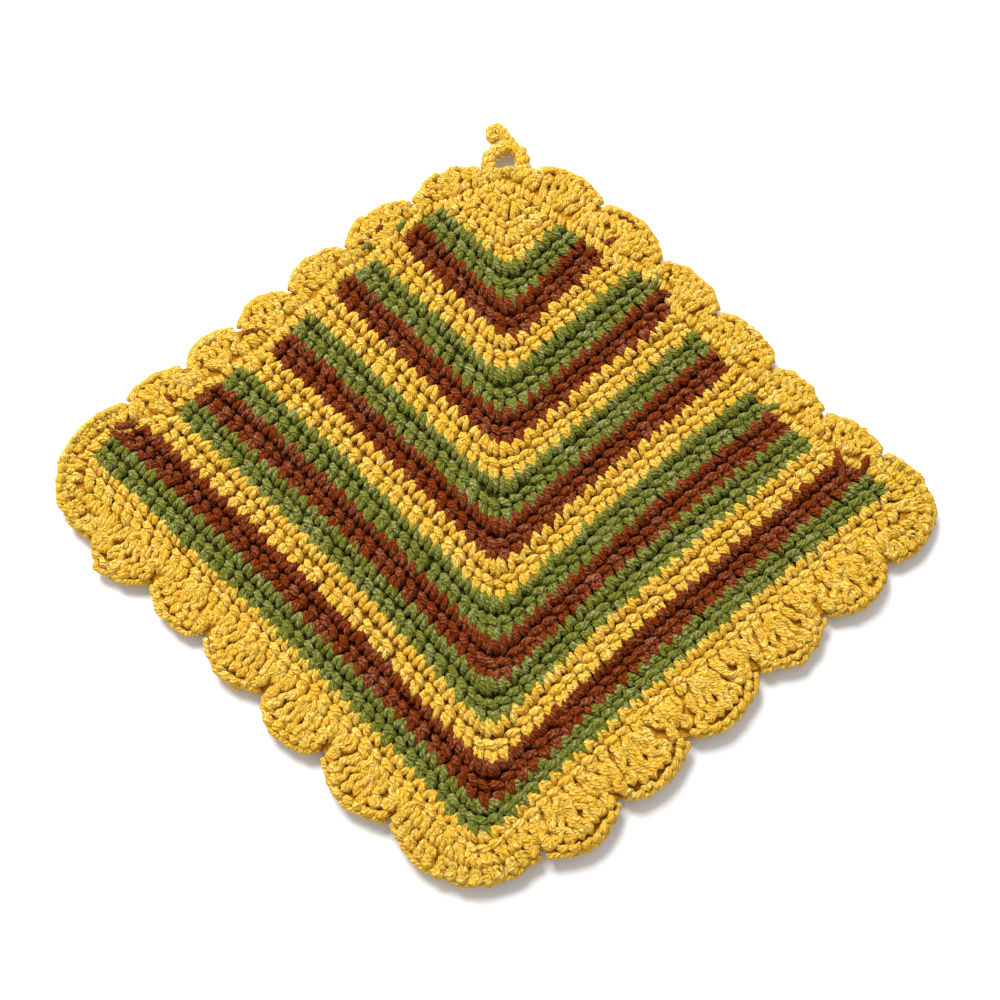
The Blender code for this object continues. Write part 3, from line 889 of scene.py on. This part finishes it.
@dataclass
class StripedSquare:
    """The square of single crochet, worked in V-shaped rows from its top corner."""

    first_pitch: float = 2.8
    last_pitch: float = 2.4
    rows_in_stripe: int = 2
    arm_steps: int = 8
    tip_steps: int = 6
    ground_half: float = 0.2
    ground_start: float = 0.05      # share of the first row that the ground leaves out at the corner

    def stripe_line(self, stripe: Stripe) -> Line:
        """The line of a stripe's last tops, from its left end round its rounded tip to its right end."""
        tip = np.array((stripe.tip_x, stripe.tip_y))
        ends = [np.array((stripe.left_x, stripe.left_y)), np.array((stripe.right_x, stripe.right_y))]
        ways = [(end - tip) / np.linalg.norm(end - tip) for end in ends]
        middle = (ways[0] + ways[1]) / np.linalg.norm(ways[0] + ways[1])
        half_angle = math.acos(float(ways[0] @ middle))
        tip = tip + middle * ROW_INSET / math.sin(half_angle)
        arms = []
        for end, way in zip(ends, ways):
            inward = middle - way * float(middle @ way)
            inward /= np.linalg.norm(inward)
            along = end + inward * ROW_INSET - tip
            reach = np.linalg.norm(along)
            share = np.linspace(stripe.tip_reach / reach, 1.0, self.arm_steps + 1)[:, None]
            arms.append(tip + along * share - inward * stripe.bow * 4 * share * (1 - share))
        left, right = arms
        t = (np.arange(1, self.tip_steps) / self.tip_steps)[:, None]
        rounding = left[0] * (1 - t) ** 2 + tip * 2 * t * (1 - t) + right[0] * t ** 2
        return Line(np.vstack((left[::-1], rounding, right)))

    def stripe_rows(self) -> list[tuple[YarnColour, list[Line]]]:
        """The colour of each stripe, and the lines between its rows from its inner to its outer side."""
        edges = [self.stripe_line(stripe) for stripe in STRIPES]
        corner = np.broadcast_to(TOP_CORNER, edges[0].points.shape)
        found = []
        for number, stripe in enumerate(STRIPES):
            rows = START_ROWS if number == 0 else self.rows_in_stripe
            inner = corner if number == 0 else edges[number - 1].points
            shares = np.linspace(0.0, 1.0, rows + 1)
            found.append((stripe.colour, [Line(inner + (edges[number].points - inner) * t) for t in shares]))
        return found

    def sides(self) -> Line:
        """The two upper sides, where the rows end, from the left corner over the top to the right one."""
        left_ends = [(stripe.left_x, stripe.left_y) for stripe in STRIPES]
        right_ends = [(stripe.right_x, stripe.right_y) for stripe in STRIPES]
        return Line([*left_ends[::-1], tuple(TOP_CORNER), *right_ends])

    def outline(self) -> Line:
        """The square's outline, clockwise from its left corner."""
        last_row = self.stripe_line(STRIPES[-1]).points
        return Line(np.vstack((self.sides().points, last_row[-2:0:-1])), closed=True)

    def build(self, yarns: dict[YarnColour, bpy.types.Material]) -> list[bpy.types.Object]:
        """Work every stripe.

        Args:
            yarns: the material of each yarn.

        Returns:
            One piece for each stripe.
        """
        pieces = []
        base_count, facing = 1, 1
        for number, (colour, lines) in enumerate(self.stripe_rows()):
            rng = np.random.default_rng(100 + number)
            yarn = YarnMesh(seed=200 + number)
            paths = []
            pitch = self.first_pitch + (self.last_pitch - self.first_pitch) * number / (len(STRIPES) - 1)
            for base, top in zip(lines, lines[1:]):
                row = VRow(base, top, pitch, base_count)
                paths.append(row.path(SINGLE_CROCHET, facing, rng, backwards=facing < 0))
                base_count, facing = row.count, -facing
            yarn.strand(lifted(np.concatenate(paths), CLOTH_MIDDLE))
            pieces.append(yarn.piece(f"stripe_{number:02d}_{colour.value}", yarns[colour], "striped_yarn"))
        return pieces

    def ground(self, grounds: dict[YarnColour, bpy.types.Material]) -> bpy.types.Object:
        """The dense ground of the cloth, seen only between the strands.

        Args:
            grounds: the yarn colours darkened as painted shade.

        Returns:
            A thin sheet in the stripes' colours, which stands for the modelled square.
        """
        order = list(YarnColour)
        lines, bands = [], []
        for colour, rows in self.stripe_rows():
            lines += [line.points for line in (rows[1:] if lines else rows)]
            bands += [order.index(colour)] * (len(rows) - 1)
        lines[0] = TOP_CORNER + (lines[1] - TOP_CORNER) * self.ground_start
        obj = thin_cloth("panel_ground", lines, False, self.ground_half,
                         [grounds[colour] for colour in order], bands)
        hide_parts("panel")
        return obj


# ------------------------------------------------------------------ the edging

@dataclass
class ShellEdging:
    """The scalloped edging: single crochet along the two upper sides, and a shell for each scallop."""

    edge_steps: int = 12            # stretches in the edge of a scallop, and in the line of its roots
    root_steps: int = 24
    side_height: float = 2.3        # of the single crochet
    side_pitch: float = 2.15
    loose: float = 1.5              # how uneven the shells' stitches are
    low_loose: float = 1.6          # and the single crochet
    flipped: float = 0.4            # share of the shells' stitches that lean the other way
    reach: float = 0.45             # how unevenly it bites into the ends of the rows
    notch_width: float = 4.4        # of the single crochet between two shells, at its foot
    notch_top: float = 3.0
    notch_inset: float = 1.3
    shell_pitch: float = 1.95
    foot_height: float = 0.3        # where the shells stand beyond the square's last row
    root_share: float = 0.9         # share of a scallop's width on which its stitches are rooted
    rim_inset: float = 0.6          # of the tops, from the scallop's edge
    rim_depth: float = 5.0          # what the heights in the rim's stitches are shares of
    deep_bulge: float = 5.0         # beyond this a shell has two rows
    deep_share: float = 0.42        # of the height, for the inner row of a deep shell
    slip_swell: float = 1.1         # how much thicker the yarn of the slip stitches looks
    knot_swell: float = 1.05
    ground_half: float = 0.65
    ground_inset: float = 0.9

    def scallop_edge(self, index: int) -> Line:
        """The rounded outer edge of one scallop."""
        scallop, following = SCALLOPS[index], SCALLOPS[(index + 1) % len(SCALLOPS)]
        start = np.array((scallop.start_x, scallop.start_y))
        end = np.array((following.start_x, following.start_y))
        chord = end - start
        width = np.linalg.norm(chord)
        outward = np.array((-chord[1], chord[0])) / width
        share = np.linspace(0.0, 1.0, self.edge_steps + 1)[:, None]
        if scallop.bulge == 0.0:
            return Line(start + chord * share)
        radius = ((width / 2) ** 2 + scallop.bulge ** 2) / (2 * scallop.bulge)
        half = math.asin(min(width / 2 / radius, 1.0))
        if scallop.bulge > width / 2:
            half = math.pi - half
        angle = (2 * share ** scallop.lean - 1) * half
        centre = (start + end) / 2 + outward * (scallop.bulge - radius)
        return Line(centre + chord / width * radius * np.sin(angle) + outward * radius * np.cos(angle))

    def side_row(self, sides: Line, rng: np.random.Generator) -> np.ndarray:
        """The yarn's path through the single crochet along the upper sides.

        Args:
            sides: the two upper sides of the square.
            rng: the source of the small differences between stitches.

        Returns:
            The points of the path.
        """
        even = Line(sides.at(np.arange(0.0, sides.length, self.side_pitch)))
        base = even.offset(rng.normal(0.0, self.reach, len(even.points)))
        row = Row(base, even.offset(self.side_height), self.side_pitch)
        return row.path(SINGLE_CROCHET, 1, rng, loose=self.low_loose)

    def footing(self, sides: Line, outline: Line) -> Line:
        """The closed line on which the shells stand."""
        heights = np.full(len(outline.points), self.foot_height)
        heights[:len(sides.points)] = self.side_height
        heights[[0, len(sides.points) - 1]] = self.side_height / 2
        return outline.offset(heights)

    def build(self, sides: Line, outline: Line, yarn_material: bpy.types.Material) -> list[bpy.types.Object]:
        """Work the single crochet, the shells and the slip stitches between them.

        Args:
            sides: the two upper sides of the square.
            outline: the square's whole outline.
            yarn_material: the yellow yarn.

        Returns:
            The single crochet, the shells, their rims and the slip stitches, each one piece.
        """
        rng = np.random.default_rng(31)
        side = YarnMesh(seed=41, radius=EDGING_RADIUS)
        side.strand(lifted(self.side_row(sides, rng), CLOTH_MIDDLE))
        footing = self.footing(sides, outline)
        shells = YarnMesh(seed=42, radius=EDGING_RADIUS)
        rims = YarnMesh(seed=43, radius=EDGING_RADIUS)
        slips = YarnMesh(seed=44, radius=EDGING_RADIUS * self.slip_swell)
        for index, scallop in enumerate(SCALLOPS):
            edge = self.scallop_edge(index)
            height = CLOTH_MIDDLE + scallop.lift
            *inner, last = self.shell_rows(edge, footing, scallop)
            for row, stitches in [(row, NOTCH_CROCHET) for row in inner] + [(last, DOUBLE_CROCHET)]:
                path = row.path(stitches, 1, rng, loose=self.loose, flipped=self.flipped)
                shells.strand(lifted(path, height))
            rim = Row(edge.offset(-self.rim_inset - self.rim_depth), last.top, self.shell_pitch, last.count)
            for chain in (RIM_FACE, RIM_EDGE, RIM_BACK):
                rims.strand(lifted(rim.path(chain, 1, rng), height))
            slips.strand(self.short_strand(SLIP_STITCH, edge, edge.points[0], CLOTH_MIDDLE, 1.0, 3))
            if 0.0 < scallop.bulge < self.deep_bulge:
                foot = footing.at(np.array(sum(self.span(edge, footing)) / 2))
                slips.strand(self.short_strand(KNOT, edge, foot, height, self.knot_swell, 2))
            notch = self.notch_row(edge, footing).path(NOTCH_CROCHET, 1, rng, loose=self.low_loose)
            slips.strand(lifted(notch, height))
        return [side.piece("edging_side_stitches", yarn_material, "edging_yarn"),
                shells.piece("edging_shells", yarn_material, "edging_yarn"),
                rims.piece("edging_rims", yarn_material, "edging_yarn"),
                slips.piece("edging_slip_stitches", yarn_material, "edging_yarn")]

    def span(self, edge: Line, line: Line) -> tuple[float, float]:
        """The stretch of a closed line that lies behind a scallop."""
        first, last = line.nearest(edge.points[0]), line.nearest(edge.points[-1])
        if last < first:
            last += line.length
        return first, last

    def shell_rows(self, edge: Line, footing: Line, scallop: Scallop) -> list[Row]:
        """The rows of one shell's stitches: two in the deep shells of the corners, and one in the others.

        Args:
            edge: the scallop's outer edge.
            footing: the line on which the shells stand.
            scallop: its place in the table.

        Returns:
            The rows between its roots and its rim, the outermost last.
        """
        fan = 0.0 < scallop.bulge <= self.deep_bulge
        first, last = self.span(edge, footing)
        margin = (1 - self.root_share) * (last - first) / 2 if fan else 0.0
        roots = Line(footing.at(np.linspace(first + margin, last - margin, self.root_steps + 1)))
        tops = edge.offset(-self.rim_inset)
        if fan:
            return [ShellRow(roots, tops, self.shell_pitch)]
        if scallop.bulge == 0.0:
            return [Row(roots, tops, self.shell_pitch)]
        crowns = tops.at(np.linspace(0.0, tops.length, self.root_steps + 1))
        between = Line(roots.points + (crowns - roots.points) * self.deep_share)
        return [Row(roots, between, self.shell_pitch), Row(between, tops, self.shell_pitch)]

    def notch_row(self, edge: Line, footing: Line) -> Row:
        """The two single crochet that fill the corner below the notch where a scallop starts."""
        along, outward = directions(edge)
        foot = footing.nearest(edge.points[0])
        base = Line(footing.at(foot + np.linspace(-0.5, 0.5, 5) * self.notch_width))
        middle = edge.points[0] - outward * self.notch_inset
        half = along * self.notch_top / 2
        return Row(base, Line([middle - half, middle + half]), self.notch_top / 2)

    def short_strand(self, points: list[PathPoint], edge: Line, place: np.ndarray, height: float,
                     thick: float, steps: int) -> np.ndarray:
        """The path of a short strand by one scallop.

        Args:
            points: its points, from where it belongs.
            edge: the scallop's edge.
            place: where it belongs.
            height: of the middle of the stitches there.
            thick: share of the yarn's thickness.
            steps: how many stretches lie between two of its points.

        Returns:
            The points of a smooth path.
        """
        along, outward = directions(edge)
        laid = [(*(place + along * p.x + outward * p.y), height + p.height, thick) for p in points]
        return curve_through(np.array(laid), steps)

    def ground(self, outline: Line, material: bpy.types.Material) -> bpy.types.Object:
        """The dense ground of the edging, seen only between the strands.

        Args:
            outline: the square's outline.
            material: the yellow yarn's colour darkened as painted shade.

        Returns:
            A thin ring, which stands for the modelled edging.
        """
        inner, outer = [], []
        for index in range(len(SCALLOPS)):
            edge = self.scallop_edge(index)
            first, last = self.span(edge, outline)
            inset = edge.offset(-self.ground_inset).points[:-1]
            outer.append(inset)
            inner.append(outline.at(np.linspace(first, last, len(inset) + 1)[:-1]))
        lines = [np.vstack(inner), np.vstack(outer)]
        obj = thin_cloth("edging_ground", lines, True, self.ground_half, [material], [0])
        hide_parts("scalloped_border")
        return obj


class Twist(NamedTuple):
    """Two strands that wind round each other along a line."""

    points: list[PathPoint]
    radius: float       # of each strand
    spread: float       # how far each winds from the line
    lead: float         # the length in which it goes once round


@dataclass
class HangingLoop:
    """The little loop at the top corner, with its fastened-off end curled over it."""

    arch: Twist = Twist(LOOP_ARCH, 0.92, 0.68, 3.4)
    curl: Twist = Twist(LOOP_CURL, 0.74, 0.42, 2.6)
    flatness: float = 0.7           # height of the winding, as a share of its width
    swell: float = 0.08
    curve_steps: int = 5
    sides: int = 8

    def strands(self, twist: Twist) -> list[np.ndarray]:
        """The paths of the two strands of a twist."""
        curve = curve_through(np.array(twist.points), self.curve_steps)
        along = np.gradient(curve, axis=0)
        along /= np.linalg.norm(along[:, :2], axis=1)[:, None]
        side = np.column_stack((-along[:, 1], along[:, 0], np.zeros(len(curve))))
        found = []
        for phase in (0.0, 0.5):
            angle = 2 * math.pi * (winding(curve, twist.lead) + phase)
            path = curve + side * (twist.spread * np.cos(angle))[:, None]
            path[:, 2] += twist.spread * self.flatness * np.sin(angle)
            found.append(np.column_stack((path, 1.0 + self.swell * np.sin(5 * angle))))
        return found

    def build(self, yarn_material: bpy.types.Material) -> bpy.types.Object:
        """Work the loop and its curled end as one piece."""
        yarn = YarnMesh(seed=52, sides=self.sides)
        for twist in (self.arch, self.curl):
            yarn.radius = twist.radius
            for path in self.strands(twist):
                yarn.strand(path)
        obj = yarn.piece("loop_stitches", yarn_material, "loop_yarn")
        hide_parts("hanging_loop")
        return obj


@dataclass
class CarriedYarn:
    """The short lengths of carried yarn that show through another colour."""

    shares: tuple[float, ...] = (-0.62, -0.5, -0.25, 0.0, 0.25, 0.5, 0.62)
    drop: float = 0.7               # how far its ends dip between the stitches

    def path(self, fleck: Fleck) -> np.ndarray:
        """The points of one length, which arches up in its middle."""
        turn = math.radians(fleck.turn)
        along = np.array((math.cos(turn), math.sin(turn)))
        share = np.array(self.shares)[:, None]
        flat = np.array((fleck.x, fleck.y)) + along * share * fleck.length
        height = fleck.height - (2 * share) ** 4 * self.drop
        return np.hstack((flat, height, np.ones_like(height)))

    def build(self, yarns: dict[YarnColour, bpy.types.Material]) -> None:
        """Lay every length, those of one colour as one piece."""
        meshes: dict[YarnColour, YarnMesh] = {}
        for fleck in FLECKS:
            meshes.setdefault(fleck.colour, YarnMesh(seed=61 + len(meshes))).strand(self.path(fleck))
        for colour, yarn in meshes.items():
            yarn.piece(f"carried_{colour.value}", yarns[colour], "striped_yarn")


# ------------------------------------------------------------------ the studio

@dataclass
class Studio:
    """The pale table, the soft light and the camera."""

    table_size: float = 3.0
    camera_elevation: float = 66.53
    camera_turn: float = 0.666          # degrees to the left of straight ahead
    camera_distance: float = 215.3
    aim: tuple[float, float, float] = (1.2, -9.2, 5.4)
    lens: float = 46.72
    sensor: float = 36.0
    sky_strength: float = 0.62
    key_place: tuple[float, float, float] = (-0.30, 0.50, 0.78)
    key_size: float = 0.45
    key_power: float = 13.0
    key_colour: Colour = (1.0, 0.99, 0.97)

    def build(self) -> None:
        """Lay the table, hang the lights and set up the camera."""
        bpy.ops.object.select_all(action="DESELECT")
        bpy.ops.mesh.primitive_plane_add(size=self.table_size, location=(0, 0, 0))
        table = bpy.context.object
        table.name = "table_top"
        table.data.materials.append(TableFinish().material())
        world = bpy.data.worlds.new("studio")
        world.use_nodes = True
        background = world.node_tree.nodes["Background"]
        background.inputs["Color"].default_value = (1.0, 1.0, 1.0, 1.0)
        background.inputs["Strength"].default_value = self.sky_strength
        bpy.context.scene.world = world
        self.key_lamp()
        view = bpy.context.scene.view_settings
        view.view_transform = "Standard"
        view.look = "None"
        self.camera()

    def key_lamp(self) -> None:
        """Hang the square soft light that faces the middle of the table."""
        light = bpy.data.lights.new("key", "AREA")
        light.size = self.key_size
        light.energy = self.key_power
        light.color = self.key_colour
        lamp = bpy.data.objects.new("key", light)
        lamp.location = self.key_place
        lamp.rotation_euler = (-Vector(self.key_place)).to_track_quat("-Z", "Y").to_euler()
        bpy.context.scene.collection.objects.link(lamp)

    def camera(self) -> None:
        """Point the camera as the photograph was taken."""
        turn, rise = math.radians(self.camera_turn), math.radians(self.camera_elevation)
        ahead = Vector((-math.sin(turn), math.cos(turn), 0.0))
        look = ahead * math.cos(rise) - Vector((0, 0, 1)) * math.sin(rise)
        right = Vector((math.cos(turn), math.sin(turn), 0.0))
        up = right.cross(look)
        data = bpy.data.cameras.new("camera")
        data.lens = self.lens
        data.sensor_width = self.sensor
        data.clip_start = 0.01
        camera = bpy.data.objects.new("camera", data)
        place = (Vector(self.aim) - look * self.camera_distance) * MM
        turned = Matrix((right, up, -look)).transposed().to_4x4()
        camera.matrix_world = Matrix.Translation(place) @ turned
        bpy.context.scene.collection.objects.link(camera)
        bpy.context.scene.camera = camera


def main() -> None:
    """Load the frame, work the pot holder's pieces and light them."""
    logging.basicConfig(level=logging.INFO, format="%(name)s: %(message)s")
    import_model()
    Studio().build()
    yarns = {colour: finish.material() for colour, finish in YARNS.items()}
    # the ground finishes start from each yarn's painted groove shade and darken it further as painted shade
    grounds = {colour: ShadedGroundFinish(f"{colour.value} ground", finish.painted_groove_shade).material()
               for colour, finish in YARNS.items()}
    square = StripedSquare()
    stripes = square.build(yarns)
    ground = square.ground(grounds)
    edging = ShellEdging()
    edging_pieces = edging.build(square.sides(), square.outline(), yarns[YarnColour.YELLOW])
    # the edging's ground: the painted groove shade at 0.4 to 1.1 of its colour
    edging_finish = ShadedGroundFinish("edging ground", YARNS[YarnColour.YELLOW].painted_groove_shade, 0.4, 1.1)
    edging_ground = edging.ground(square.outline(), edging_finish.material())
    HangingLoop().build(yarns[YarnColour.YELLOW])
    CarriedYarn().build(yarns)


if __name__ == "__main__":
    main()
